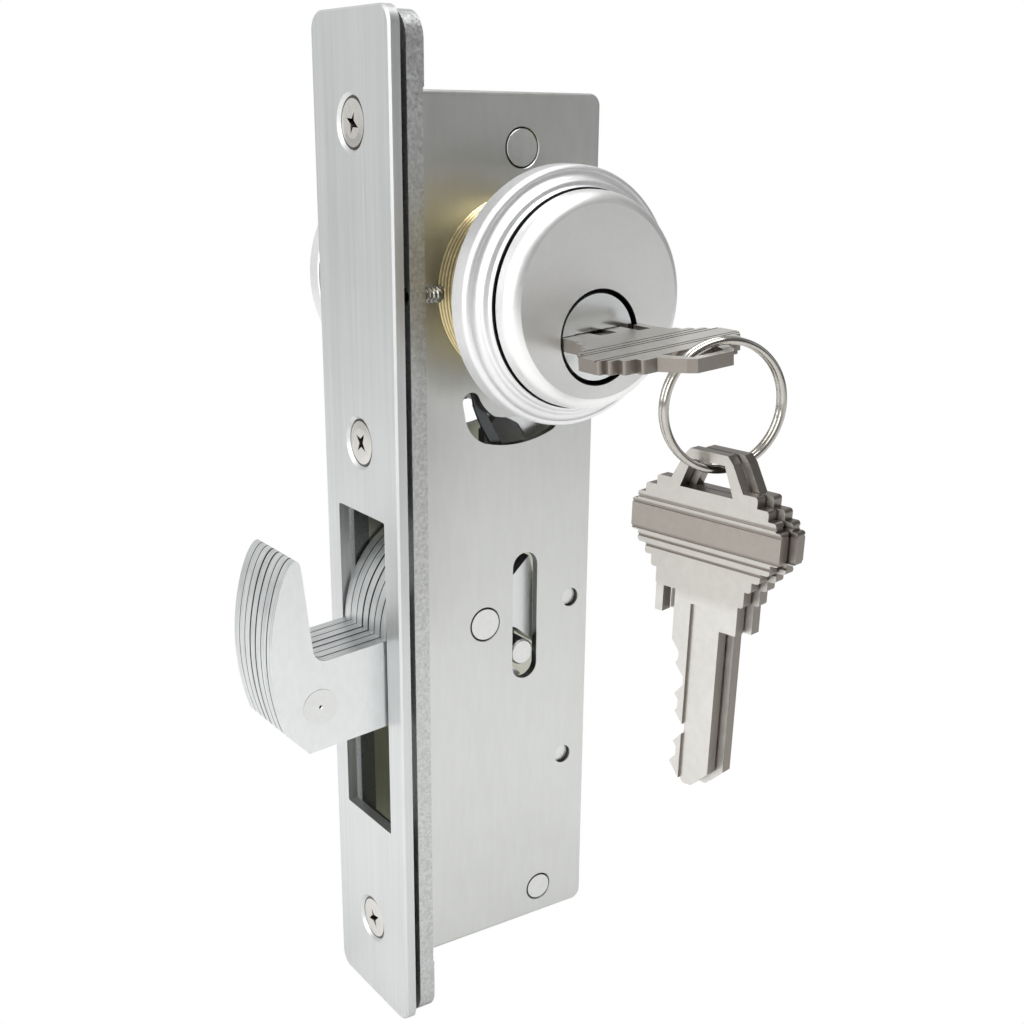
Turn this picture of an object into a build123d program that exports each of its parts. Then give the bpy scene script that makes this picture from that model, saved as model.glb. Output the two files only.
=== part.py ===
"""Narrow-stile mortise lock with a swinging hook bolt, two key cylinders and three keys.

Frame (mm): the origin is midway between the two stile screw holes, on the front face of
the mounting strap. +X runs into the door stile, +Y runs from the near cylinder to the far
one, and +Z runs up the faceplate. The hook reaches out to -X.
"""

from math import asin, cos, degrees, radians, sin, sqrt
import os

from build123d import *

os.makedirs("parts", exist_ok=True)

# ---------------------------------------------------------------- driving dimensions
# Front: faceplate and mounting strap
FACE_HEIGHT = 174.6  # 6 7/8 in
FACE_WIDTH = 25.4  # 1 in
FACE_THICK = 1.9
FACE_GAP = 1.0  # the strap's bosses hold the faceplate off by this much
STRAP_HEIGHT = 173.6
STRAP_THICK = 3.0
FACE_CORNER = 3.0
STRAP_CORNER = 4.5
FACE_SCREW_Z = (70.6, 19.9, -71.2)
STILE_SCREW_Z = 81.0
STILE_SCREW_R = 2.75
BOLT_SLOT_HALF = 8.05
FACE_SLOT_TOP = 7.9
FACE_SLOT_BOTTOM = -49.8
STRAP_SLOT_BOTTOM = -53.5  # lower than the faceplate's, because the nose swings past it

# Case: two side plates held apart by shouldered rivets
CASE_BACK = 38.8
CASE_HALF_HEIGHT = 75.6
PLATE_OUT = 9.5  # outer faces, from the middle plane
PLATE_THICK = 1.5
PLATE_IN = PLATE_OUT - PLATE_THICK
TENON_Z = (62.0, 24.0, -64.0)
TENON_LENGTH = 10.0

# Cylinders: 31/32 in backset from the faceplate's front, 1 5/32 in thread
CYL_X = 24.6 - FACE_THICK - FACE_GAP
CYL_Z = 45.0
CYL_R = 14.6
PLUG_DROP = 5.2  # the plug sits below the cylinder's centre
PLUG_Z = CYL_Z - PLUG_DROP
PLUG_R = 6.35
CYL_REAR = 4.3  # distances of cylinder parts are from the middle plane, outwards
RING_REAR = 22.225  # half of a 1 3/4 in stile
RING_FRONT = 28.55
HEAD_REAR = 28.85
HEAD_R = 16.6
HEAD_FACE_R = 14.7  # inside the rounded rim
PLUG_HEAD_R = 7.0
PLUG_HEAD_THICK = 1.4
COUNTERBORE_R = 7.3
COUNTERBORE_DEEP = 1.9
BORE_PLAY = 0.08
CHAMBER_PLAY = 0.06
CAM_SCREW_R = 1.0
CAM_SCREW_OUT = 3.9  # from the plug's axis
CAM_SCREW_DEEP = 3.2  # into the plug
HEAD_FRONT = 33.0
PLUG_FACE = 32.6
PLUG_REAR = 3.9
CAM_THICK = 2.4
CAM_REACH = 13.4  # from the plug's axis to the centre of the rounded tip
CAM_TIP_R = 2.2
CAM_HUB_R = 5.8
PIN_COUNT = 5
PIN_PITCH = 3.97
PIN_R = 1.42
SET_SCREW_Y = 10.95
SET_SCREW_R = 1.35

# Bolt: seven hook-shaped plates riveted into one, swinging on a pin across the case
PIVOT_X = 16.2
PIVOT_Z = -13.25
PIVOT_R = 3.0
PLATES_IN_BOLT = 7
BOLT_HALF = 7.5
BOLT_PLATE = 2.08
BOLT_PITCH = 2 * BOLT_HALF / PLATES_IN_BOLT
SWING = 93.5  # from fully thrown to fully retracted, flush with the faceplate
DROOP = 6.0  # how far the nose hangs from fully thrown, at rest
NOSE_R = 40.0
SHOULDER_R = 18.9
THROAT_X = -32.3
THROAT_Z = 2.1
ARM_UNDER = -13.5

# Lift link: slides up to swing the bolt back
LINK_X = 24.6
LINK_TRAVEL = 16.5
LINK_PIN_R = 2.4
LINK_THICK = 2.0
CAM_HALF_ANGLE = degrees(asin(LINK_TRAVEL / 2 / CAM_REACH))
TURNED = DROOP / SWING  # share of the whole movement already made at rest
PIN_Z = PIVOT_Z + (TURNED - 0.5) * LINK_TRAVEL
CAM_ANGLE = (2 * TURNED - 1) * CAM_HALF_ANGLE
NOTCH_Z = PLUG_Z + (TURNED - 0.5) * LINK_TRAVEL
FAR_CAM_ANGLE = -88.0

# Keys
KEY_THICK = 2.0
BOW_LENGTH = 26.6
BLADE_LENGTH = 27.0
BLADE_HALF = 4.2
KEY_TILT = 5.0  # the key's plane, turned up from horizontal about the plug's axis
KEY_STOP = PLUG_FACE + 0.3
RING_R = 9.35
WIRE_R = 0.55
COIL_HALF_PITCH = 0.48
RING_X = CYL_X + 4.4
RING_Y = -56.75
RING_Z = PLUG_Z - 7.0
HANG_GAP = 0.65
KEY_SPREAD = 1.15  # half the distance between the two hanging keys' middle planes
KEY_LEAN = 1.5
RING_TURN = -16.0  # the ring's plane, turned about +Z from the XZ plane
HANG_ANGLE = -77.0  # which way the hanging keys' width points, about +Z from +X

NEAR, FAR = -1, 1
SIDES = (("near", NEAR), ("far", FAR))


# ---------------------------------------------------------------- helpers
def save(part, name):
    """Label a finished piece and write it to its own STEP file."""
    part.label = name
    export_step(part, f"parts/{name}.step")


def side_plane(y):
    """Sketch plane seen from the near side: local x, y are the frame's X, Z. It faces -Y."""
    return Plane(origin=(0, y, 0), x_dir=(1, 0, 0), z_dir=(0, -1, 0))


def turned_plane(x, y, z, angle):
    """The same plane, with its origin moved and its axes turned anticlockwise as seen."""
    a = radians(angle)
    return Plane(origin=(x, y, z), x_dir=(cos(a), 0, sin(a)), z_dir=(0, -1, 0))


def lathe_plane(side):
    """Plane through a cylinder's axis: local x is the radius, local y the distance outwards."""
    return Plane(origin=(CYL_X, 0, CYL_Z), x_dir=(1, 0, 0), z_dir=(0, 0, side))


CYL_AXIS = Axis((CYL_X, 0, CYL_Z), (0, 1, 0))


# ---------------------------------------------------------------- front
FACE_HOLE_R = 2.65
SINK_R = 4.55
SCREW_R = 1.68
SCREW_HEAD_R = 3.95
SCREW_SUNK = 0.3
SCREW_TURNS = (20.0, 38.0, 62.0)  # how far each screw happens to be turned, as seen
SCREW_BEVEL = 1.4  # countersunk part of the head, across and along
CROSS_TIP_R = 2.1
CROSS_NECK_R = 0.72
CROSS_DEEP = 1.1
BOSS_R = 3.3
SEAT_SUNK = 0.2

with BuildPart() as faceplate:
    with BuildSketch(Plane.YZ.offset(-FACE_GAP - FACE_THICK)):
        RectangleRounded(FACE_WIDTH, FACE_HEIGHT, FACE_CORNER)
    extrude(amount=FACE_THICK)
    front_edges = faceplate.faces().sort_by(Axis.X)[0].edges()
    chamfer(front_edges, length=0.35)
    slot_height = FACE_SLOT_TOP - FACE_SLOT_BOTTOM
    slot_middle = (FACE_SLOT_TOP + FACE_SLOT_BOTTOM) / 2
    with BuildSketch(Plane.YZ.offset(-FACE_GAP - FACE_THICK)):
        with Locations((0, slot_middle)):
            RectangleRounded(2 * BOLT_SLOT_HALF, slot_height, 0.4)
    extrude(amount=FACE_THICK, mode=Mode.SUBTRACT)
    for z in FACE_SCREW_Z:
        with Locations(Plane(origin=(-FACE_GAP - FACE_THICK, 0, z), z_dir=(-1, 0, 0))):
            CounterSinkHole(FACE_HOLE_R, SINK_R, counter_sink_angle=90)
save(faceplate.part, "faceplate")

with BuildPart() as mounting_strap:
    with BuildSketch(Plane.YZ):
        RectangleRounded(FACE_WIDTH, STRAP_HEIGHT, STRAP_CORNER)
        with Locations((0, STILE_SCREW_Z), (0, -STILE_SCREW_Z)):
            Circle(STILE_SCREW_R, mode=Mode.SUBTRACT)
        with Locations((0, (FACE_SLOT_TOP + STRAP_SLOT_BOTTOM) / 2)):
            Rectangle(2 * BOLT_SLOT_HALF, FACE_SLOT_TOP - STRAP_SLOT_BOTTOM, mode=Mode.SUBTRACT)
    extrude(amount=STRAP_THICK)
    # the case seat is sunk a little, so that the ears behind the stile screws stand proud of it
    with BuildSketch(Plane.YZ.offset(STRAP_THICK - SEAT_SUNK)):
        Rectangle(FACE_WIDTH, 2 * (CASE_HALF_HEIGHT + SEAT_SUNK))
        with Locations((0, (FACE_SLOT_TOP + STRAP_SLOT_BOTTOM) / 2)):
            Rectangle(2 * BOLT_SLOT_HALF, FACE_SLOT_TOP - STRAP_SLOT_BOTTOM, mode=Mode.SUBTRACT)
    extrude(amount=SEAT_SUNK, mode=Mode.SUBTRACT)
    # drawn bosses that carry the faceplate, tapped for its screws
    with BuildSketch(Plane.YZ.offset(-FACE_GAP)):
        with Locations(*[(0, z) for z in FACE_SCREW_Z]):
            Circle(BOSS_R)
    extrude(amount=FACE_GAP)
    with BuildSketch(Plane.YZ.offset(-FACE_GAP)):
        with Locations(*[(0, z) for z in FACE_SCREW_Z]):
            Circle(SCREW_R + 0.04)
    extrude(amount=FACE_GAP + STRAP_THICK, mode=Mode.SUBTRACT)
    # slots for the side plates' tenons
    with BuildSketch(Plane.YZ):
        for side in (NEAR, FAR):
            with Locations(*[(side * (PLATE_OUT - PLATE_THICK / 2), z) for z in TENON_Z]):
                Rectangle(PLATE_THICK + 0.04, TENON_LENGTH + 0.1)
    extrude(amount=STRAP_THICK, mode=Mode.SUBTRACT)
    # tapped holes for the two cylinder set screws, just outside the case
    with BuildSketch(Plane.YZ):
        with Locations((SET_SCREW_Y, CYL_Z), (-SET_SCREW_Y, CYL_Z)):
            Circle(SET_SCREW_R + 0.02)
    extrude(amount=STRAP_THICK, mode=Mode.SUBTRACT)
save(mounting_strap.part, "mounting_strap")

SCREW_HEAD_X = -FACE_GAP - FACE_THICK + SCREW_SUNK


def star_point(r, angle):
    """A corner of a screw's cross recess."""
    return (r * cos(radians(angle)), r * sin(radians(angle)))


with BuildPart() as faceplate_screws:
    for z, turn in zip(FACE_SCREW_Z, SCREW_TURNS):
        with BuildSketch(Plane(origin=(0, 0, z), x_dir=(0, 1, 0), z_dir=(0, 0, 1))):
            with BuildLine():
                Polyline(
                    (0, -SCREW_HEAD_X),
                    (2.4, -SCREW_HEAD_X),
                    (SCREW_HEAD_R, -SCREW_HEAD_X - 0.15),
                    (SCREW_HEAD_R - SCREW_BEVEL, -SCREW_HEAD_X - SCREW_BEVEL - 0.15),
                    (SCREW_R, -SCREW_HEAD_X - SCREW_BEVEL - 0.15),
                    (SCREW_R, -STRAP_THICK - 0.8),
                    (0, -STRAP_THICK - 0.8),
                    close=True,
                )
            make_face()
        revolve(axis=Axis((0, 0, z), (1, 0, 0)))
        with BuildSketch(Plane(origin=(SCREW_HEAD_X, 0, z), x_dir=(0, 1, 0), z_dir=(1, 0, 0))):
            radii = (CROSS_TIP_R, CROSS_NECK_R)
            cross = [star_point(radii[i % 2], turn + 45 * i) for i in range(8)]
            Polygon(*cross, align=None)
        extrude(amount=CROSS_DEEP, taper=18, mode=Mode.SUBTRACT)
save(faceplate_screws.part, "faceplate_screws")

# ---------------------------------------------------------------- case
RIVETS = (  # name, x, z, end radius, shoulder radius
    ("top_case_rivet", 23.05, 67.1, 3.1, 4.2),
    ("bottom_case_rivet", 28.55, -69.9, 2.6, 3.6),
    ("bolt_pivot_pin", PIVOT_X, PIVOT_Z, PIVOT_R, PIVOT_R),
)
STOP_PINS = ((34.65, -11.5), (33.65, -42.9))
STOP_PIN_R = 1.75
RIVET_EDGE = 0.22  # bevel on the rivet ends and on their holes
STOP_PIN_SUNK = 0.8
CRESCENT_IN = 16.4
CRESCENT_OUT = 21.2
CRESCENT_START = 254.0
CRESCENT_END = 292.5
GUIDE_HEIGHT = 24.0
GUIDE_HALF = 2.65


def about_plug(r, angle):
    """Point of the circle of radius r about the plug's axis."""
    return (CYL_X + r * cos(radians(angle)), PLUG_Z + r * sin(radians(angle)))


def crescent_outline():
    """Window under the cylinder: an arc about the plug with a lobe rising at its left end."""
    sweep = CRESCENT_END - CRESCENT_START
    with BuildLine() as outline:
        inner = CenterArc((CYL_X, PLUG_Z), CRESCENT_IN, CRESCENT_START + 3, sweep - 3)
        middle = about_plug((CRESCENT_IN + CRESCENT_OUT) / 2, CRESCENT_END + 7.3)
        outer_end = about_plug(CRESCENT_OUT, CRESCENT_END)
        ThreePointArc(inner @ 1, middle, outer_end)
        outer = CenterArc((CYL_X, PLUG_Z), CRESCENT_OUT, CRESCENT_END, -sweep)
        lobe = ThreePointArc(outer @ 1, (13.0, 21.8), (12.0, 24.6))
        side = Line(lobe @ 1, (11.6, 26.6))
        tip = ThreePointArc(side @ 1, (12.9, 28.3), (14.7, 27.6))
        Spline(tip @ 1, (16.0, 25.5), inner @ 0)
    return outline.line


for name, side in SIDES:
    with BuildPart() as side_plate:
        with BuildSketch(side_plane(side * PLATE_OUT)):
            with Locations(((STRAP_THICK + CASE_BACK) / 2 - 0.1, 0)):
                Rectangle(CASE_BACK - STRAP_THICK + 0.2, 2 * CASE_HALF_HEIGHT)
        extrude(amount=side * PLATE_THICK)
        back_corners = side_plate.edges().filter_by(Axis.Y).group_by(Axis.X)[-1]
        fillet(back_corners, radius=2.0)
        outer_face = side_plate.faces().sort_by(Axis.Y)[0 if side == NEAR else -1]
        rolled = outer_face.edges().filter_by(lambda e: e.center().X > STRAP_THICK + 0.5)
        fillet(rolled, radius=0.7)
        with BuildSketch(side_plane(side * PLATE_OUT)):
            with Locations((CYL_X, CYL_Z)):
                Circle(CYL_R + 0.15)
            with BuildLine():
                add(crescent_outline())
            make_face()
            # the slit that lets the threaded collar close on the cylinder
            with Locations((CYL_X + 1.9, CYL_Z - CYL_R - 2.5)):
                Rectangle(1.2, 6.0, rotation=-12)
            # guide slot for the link pin
            with Locations((LINK_X, PIVOT_Z)):
                SlotOverall(GUIDE_HEIGHT, 2 * GUIDE_HALF, rotation=90)
            for _, x, z, end_r, _ in RIVETS:
                with Locations((x, z)):
                    Circle(end_r)
            with Locations(*STOP_PINS):
                Circle(STOP_PIN_R)
        extrude(amount=side * PLATE_THICK, mode=Mode.SUBTRACT)
        for _, x, z, end_r, _ in RIVETS:
            with BuildSketch(side_plane(side * PLATE_OUT)):
                with Locations((x, z)):
                    Circle(end_r + RIVET_EDGE)
            extrude(amount=side * RIVET_EDGE, taper=45, mode=Mode.SUBTRACT)
        # tenons into the strap
        with BuildSketch(Plane.YZ.offset(0.15)):
            with Locations(*[(side * (PLATE_OUT - PLATE_THICK / 2), z) for z in TENON_Z]):
                Rectangle(PLATE_THICK, TENON_LENGTH)
        extrude(amount=STRAP_THICK)
    save(side_plate.part, f"{name}_side_plate")

for name, x, z, end_r, shoulder_r in RIVETS:
    with BuildPart() as rivet:
        with BuildSketch(side_plane(PLATE_OUT)):
            with Locations((x, z)):
                Circle(end_r)
        extrude(amount=2 * PLATE_OUT)
        if shoulder_r > end_r:
            with BuildSketch(side_plane(PLATE_IN)):
                with Locations((x, z)):
                    Circle(shoulder_r)
            extrude(amount=2 * PLATE_IN)
        ends = rivet.faces().filter_by(Axis.Y).sort_by(Axis.Y)
        chamfer(ends[0].edges() + ends[-1].edges(), length=RIVET_EDGE)
    save(rivet.part, name)

with BuildPart() as stop_pins:
    with BuildSketch(side_plane(PLATE_OUT - STOP_PIN_SUNK)):
        with Locations(*STOP_PINS):
            Circle(STOP_PIN_R)
    extrude(amount=2 * (PLATE_OUT - STOP_PIN_SUNK))
    chamfer(stop_pins.faces().filter_by(Axis.Y).edges(), length=0.15)
save(stop_pins.part, "stop_pins")

# ---------------------------------------------------------------- bolt
NOSE_RIVET = (THROAT_X - 0.1, -5.7)
NOSE_RIVET_R = 3.15
TAIL_ANGLE = -SWING / 2
TAIL_LENGTH = 14.5
TAIL_HALF = 5.9
FORK_HALF = LINK_PIN_R + 0.7
FORK_START = 5.2
FORK_LENGTH = TAIL_LENGTH + 5 - FORK_START + FORK_HALF  # open past the tail's end
CLAW_REACH = 4.17  # half the tail's width, taken diagonally


def on_circle(r, angle):
    """Point of the circle of radius r about the pivot, at an angle anticlockwise from +X."""
    return (r * cos(radians(angle)), r * sin(radians(angle)))


def hook_outline():
    """Nose, throat, shoulder and arm, closed along the heel, in the fully thrown position."""
    tip_angle = 157.5
    low_angle = 193.0
    corner = (-35.6, ARM_UNDER)
    with BuildLine() as outline:
        nose = ThreePointArc(
            on_circle(NOSE_R, low_angle), on_circle(NOSE_R, 175), on_circle(NOSE_R, tip_angle)
        )
        tip = Spline(
            nose @ 1,
            (THROAT_X - 0.2, 20.1),
            (THROAT_X, 18.2),
            tangents=[nose % 1, (0.05, -1)],
        )
        floor_start = (THROAT_X + 2.4, THROAT_Z)
        wall = Line(tip @ 1, (THROAT_X, THROAT_Z + 2.4))
        TangentArc(wall @ 1, floor_start, tangent=(0, -1))
        shoulder_start = degrees(asin(THROAT_Z / SHOULDER_R))
        shoulder_low = on_circle(SHOULDER_R, 180 - shoulder_start)
        Line(floor_start, shoulder_low)
        crown = ThreePointArc(shoulder_low, on_circle(SHOULDER_R, 130), on_circle(SHOULDER_R, 93))
        heel = Polyline(crown @ 1, (2.0, 4.0), (2.0, -4.1), (-2.0, -4.6), (-12.0, ARM_UNDER), corner)
        Line(heel @ 1, nose @ 0)
    return outline.line


for i in range(PLATES_IN_BOLT):
    y_near = -BOLT_HALF + i * BOLT_PITCH
    y_far = y_near + BOLT_PLATE + (BOLT_PITCH - BOLT_PLATE) / 2
    bolt_plane = turned_plane(PIVOT_X, y_far, PIVOT_Z, DROOP)
    middle = i == PLATES_IN_BOLT // 2
    with BuildPart() as lamination:
        with BuildSketch(bolt_plane):
            with BuildLine():
                add(hook_outline())
            make_face()
            Circle(4.3 if middle else 8.0)
            if not middle:
                # forked tail that straddles the link pin, and the claw above it
                Polygon(
                    (-12.0, ARM_UNDER), (2.0, -12.5), (8.0, -9.0), (8.0, 3.0), (-2.0, 6.0), align=None
                )
                with Locations(on_circle(TAIL_LENGTH / 2, TAIL_ANGLE)):
                    Rectangle(TAIL_LENGTH, 2 * TAIL_HALF, rotation=TAIL_ANGLE)
                claw_end = on_circle(TAIL_LENGTH, TAIL_ANGLE)
                claw_tip = (claw_end[0] + CLAW_REACH, claw_end[1] + CLAW_REACH)
                Polygon((3.0, 3.0), (5.2, 4.6), (11.6, 9.4), claw_tip, (8, -6), align=None)
                with Locations(on_circle(FORK_START + FORK_LENGTH / 2, TAIL_ANGLE)):
                    SlotOverall(FORK_LENGTH, 2 * FORK_HALF, rotation=TAIL_ANGLE, mode=Mode.SUBTRACT)
            Circle(PIVOT_R + 0.06, mode=Mode.SUBTRACT)
            with Locations(NOSE_RIVET):
                Circle(NOSE_RIVET_R, mode=Mode.SUBTRACT)
        extrude(amount=BOLT_PLATE)
    save(lamination.part, f"bolt_lamination_{i + 1}")

with BuildPart() as bolt_nose_rivet:
    with BuildSketch(turned_plane(PIVOT_X, BOLT_HALF + 0.08, PIVOT_Z, DROOP)):
        with Locations(NOSE_RIVET):
            Circle(NOSE_RIVET_R)
    extrude(amount=2 * (BOLT_HALF + 0.08))
    # centre punch marks in the nose rivet's two ends
    for side in (NEAR, FAR):
        with BuildSketch(turned_plane(PIVOT_X, side * (BOLT_HALF + 0.08), PIVOT_Z, DROOP)):
            with Locations(NOSE_RIVET):
                Circle(0.35)
        extrude(amount=side * 0.3, taper=40, mode=Mode.SUBTRACT)
save(bolt_nose_rivet.part, "bolt_nose_rivet")

# ---------------------------------------------------------------- lift link
POST_X = 30.6
POST_BACK = 38.4
POST_HALF = 6.2
CHEEK_THICK = 2.8
LINK_RIVETS = ((POST_BACK - 1.7, NOTCH_Z + 4.6), (POST_BACK - 1.7, NOTCH_Z - 4.6))
LINK_RIVET_R = 0.9

with BuildPart() as lift_link:
    with BuildSketch(side_plane(LINK_THICK / 2)):
        with Locations((LINK_X, PIN_Z)):
            Circle(3.6)
        elbow_z = NOTCH_Z - POST_HALF - 7.0
        with Locations((LINK_X, (PIN_Z + elbow_z) / 2)):
            Rectangle(6.4, elbow_z - PIN_Z)
        Polygon(
            (LINK_X - 3.2, elbow_z),
            (LINK_X + 3.2, elbow_z - 4.0),
            (POST_BACK, NOTCH_Z - POST_HALF - 2.0),
            (POST_BACK, NOTCH_Z + POST_HALF),
            (POST_X, NOTCH_Z + POST_HALF),
            (POST_X, NOTCH_Z - POST_HALF + 1.0),
            align=None,
        )
        with Locations((LINK_X, PIN_Z)):
            Circle(LINK_PIN_R, mode=Mode.SUBTRACT)
        with Locations(*LINK_RIVETS):
            Circle(LINK_RIVET_R, mode=Mode.SUBTRACT)
    extrude(amount=LINK_THICK)
save(lift_link.part, "lift_link")

NOTCH_HALF = CAM_TIP_R + 0.5
with BuildPart() as follower_cheeks:
    for side in (NEAR, FAR):
        with BuildSketch(side_plane(side * LINK_THICK / 2)):
            with Locations(((POST_X + POST_BACK) / 2, NOTCH_Z)):
                Rectangle(POST_BACK - POST_X, 2 * POST_HALF)
            # notch for the cam's tip, flared where the cam's arm comes in
            notch_end = POST_BACK - 0.6
            with Locations((notch_end - 4.5, NOTCH_Z)):
                SlotOverall(9.0, 2 * NOTCH_HALF, mode=Mode.SUBTRACT)
            Polygon(
                (POST_X - 0.1, NOTCH_Z + NOTCH_HALF + 1.8),
                (POST_X + 2.6, NOTCH_Z + NOTCH_HALF),
                (POST_X + 2.6, NOTCH_Z - NOTCH_HALF),
                (POST_X - 0.1, NOTCH_Z - NOTCH_HALF - 1.8),
                align=None,
                mode=Mode.SUBTRACT,
            )
            with Locations(*LINK_RIVETS):
                Circle(LINK_RIVET_R, mode=Mode.SUBTRACT)
        extrude(amount=-side * CHEEK_THICK)
save(follower_cheeks.part, "follower_cheeks")

with BuildPart() as link_rivets:
    with BuildSketch(side_plane(LINK_THICK / 2 + CHEEK_THICK)):
        with Locations(*LINK_RIVETS):
            Circle(LINK_RIVET_R)
    extrude(amount=LINK_THICK + 2 * CHEEK_THICK)
save(link_rivets.part, "link_rivets")

LINK_PIN_HALF = 8.8
with BuildPart() as link_pin:
    with BuildSketch(side_plane(LINK_PIN_HALF)):
        with Locations((LINK_X, PIN_Z)):
            Circle(LINK_PIN_R)
    extrude(amount=2 * LINK_PIN_HALF)
    chamfer(link_pin.faces().filter_by(Axis.Y).edges(), length=0.3)
save(link_pin.part, "link_pin")


# ---------------------------------------------------------------- cylinders
def plug_plane(side, y, turn):
    """Plane square to the plug's axis at distance y outwards, local +x along its pin holes."""
    return turned_plane(CYL_X, side * y, PLUG_Z, turn)


def key_cut(i):
    """Depth of the i-th cut in a key's blade, counted from the shoulder."""
    return (1.4, 2.6, 1.9, 3.1, 2.2)[i]


PIN_FIRST = KEY_STOP - 5.87
for name, side in SIDES:
    turn = KEY_TILT if side == NEAR else 90.0
    cam_angle = CAM_ANGLE if side == NEAR else FAR_CAM_ANGLE
    pin_places = [PIN_FIRST - i * PIN_PITCH for i in range(PIN_COUNT)]

    with BuildPart() as cylinder_body:
        with BuildSketch(lathe_plane(side)):
            with BuildLine():
                Polyline((0, HEAD_FRONT), (0, CYL_REAR), (CYL_R - 0.6, CYL_REAR), (CYL_R, CYL_REAR + 0.6))
                Polyline((CYL_R, CYL_REAR + 0.6), (CYL_R, HEAD_REAR), (HEAD_R - 0.2, HEAD_REAR))
                Line((HEAD_R - 0.2, HEAD_REAR), (HEAD_R, HEAD_REAR + 0.25))
                flank = Line((HEAD_R, HEAD_REAR + 0.25), (HEAD_R, HEAD_REAR + 1.5))
                bevel = TangentArc(flank @ 1, (HEAD_FACE_R, HEAD_FRONT), tangent=(0, 1))
                Line(bevel @ 1, (0, HEAD_FRONT))
            make_face()
        revolve(axis=CYL_AXIS)
        with BuildSketch(plug_plane(side, CYL_REAR, turn)):
            Circle(PLUG_R + BORE_PLAY)
        extrude(amount=-side * (HEAD_FRONT - CYL_REAR), mode=Mode.SUBTRACT)
        with BuildSketch(plug_plane(side, HEAD_FRONT - COUNTERBORE_DEEP, turn)):
            Circle(COUNTERBORE_R)
        extrude(amount=-side * COUNTERBORE_DEEP, mode=Mode.SUBTRACT)
        with BuildSketch(Plane.XY.offset(PLUG_Z + PLUG_R - 1.0)):
            with Locations(*[(CYL_X, side * y) for y in pin_places]):
                Circle(PIN_R + CHAMBER_PLAY)
        extrude(amount=CYL_Z + CYL_R - 1.2 - PLUG_Z - PLUG_R + 1.0, mode=Mode.SUBTRACT)
    save(cylinder_body.part, f"{name}_cylinder_body")

    with BuildPart() as trim_ring:
        with BuildSketch(lathe_plane(side)):
            with BuildLine():
                start = (CYL_R + 0.2, RING_REAR)
                rim = Polyline(start, (19.9, RING_REAR), (20.1, RING_REAR + 0.2), (20.1, RING_REAR + 2.9))
                edge = TangentArc(rim @ 1, (19.3, RING_REAR + 3.9), tangent=(0, 1))
                cove = ThreePointArc(edge @ 1, (18.35, RING_REAR + 4.15), (18.0, RING_REAR + 4.75))
                step = TangentArc(cove @ 1, (17.3, RING_REAR + 5.4), tangent=(0, 1))
                ThreePointArc(step @ 1, (16.95, RING_REAR + 5.6), (16.85, RING_REAR + 6.0))
                Polyline((16.85, RING_REAR + 6.0), (16.85, RING_FRONT), (CYL_R + 0.2, RING_FRONT), start)
            make_face()
        revolve(axis=CYL_AXIS)
    save(trim_ring.part, f"{name}_trim_ring")

    with BuildPart() as plug:
        with BuildSketch(plug_plane(side, PLUG_REAR, turn)):
            Circle(PLUG_R)
        extrude(amount=-side * (PLUG_FACE - PLUG_REAR))
        with BuildSketch(plug_plane(side, PLUG_FACE - PLUG_HEAD_THICK, turn)):
            Circle(PLUG_HEAD_R)
        extrude(amount=-side * PLUG_HEAD_THICK)
        front = plug.faces().sort_by(Axis.Y)[0 if side == NEAR else -1]
        chamfer(front.edges(), length=0.35)
        # keyway, a little larger than the blade all round
        with BuildSketch(plug_plane(side, PLUG_REAR + 0.8, turn)):
            Rectangle(2 * BLADE_HALF + 0.4, KEY_THICK + 0.3)
        extrude(amount=-side * (PLUG_FACE - PLUG_REAR), mode=Mode.SUBTRACT)
        # pin holes, from the keyway out to the plug's surface
        hole_dir = (cos(radians(turn)), 0, sin(radians(turn)))
        with BuildSketch(Plane(origin=(CYL_X, 0, PLUG_Z), x_dir=(0, 1, 0), z_dir=hole_dir)):
            with Locations(*[(side * y, 0) for y in pin_places]):
                Circle(PIN_R + CHAMBER_PLAY)
        extrude(amount=PLUG_R + 1, mode=Mode.SUBTRACT)
        # holes for the two cam screws
        with BuildSketch(plug_plane(side, PLUG_REAR, turn)):
            with Locations((0, CAM_SCREW_OUT), (0, -CAM_SCREW_OUT)):
                Circle(CAM_SCREW_R + 0.02)
        extrude(amount=-side * (CAM_SCREW_DEEP + 0.2), mode=Mode.SUBTRACT)
    save(plug.part, f"{name}_plug")

    with BuildPart() as bottom_pins:
        for i, y in enumerate(pin_places):
            cut_level = BLADE_HALF - key_cut(i) + 0.05
            pin_base = Plane(origin=(CYL_X, side * y, PLUG_Z), x_dir=(0, 1, 0), z_dir=hole_dir)
            with BuildSketch(pin_base.offset(cut_level + 0.6)):
                Circle(PIN_R)
            extrude(amount=PLUG_R - 0.25 - cut_level - 0.6)
            with BuildSketch(pin_base.offset(cut_level + 0.6)):
                Circle(PIN_R)
            extrude(amount=-0.6, taper=50)
    save(bottom_pins.part, f"{name}_bottom_pins")

    with BuildPart() as driver_pins:
        with BuildSketch(Plane.XY.offset(PLUG_Z + PLUG_R + 0.12)):
            with Locations(*[(CYL_X, side * y) for y in pin_places]):
                Circle(PIN_R)
        extrude(amount=5.0)
    save(driver_pins.part, f"{name}_driver_pins")

    with BuildPart() as pin_springs:
        with BuildSketch(Plane.XY.offset(PLUG_Z + PLUG_R + 5.15)):
            with Locations(*[(CYL_X, side * y) for y in pin_places]):
                Circle(PIN_R - 0.1)
                Circle(PIN_R - 0.5, mode=Mode.SUBTRACT)
        extrude(amount=CYL_Z + CYL_R - 1.25 - PLUG_Z - PLUG_R - 5.15)
    save(pin_springs.part, f"{name}_pin_springs")

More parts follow.
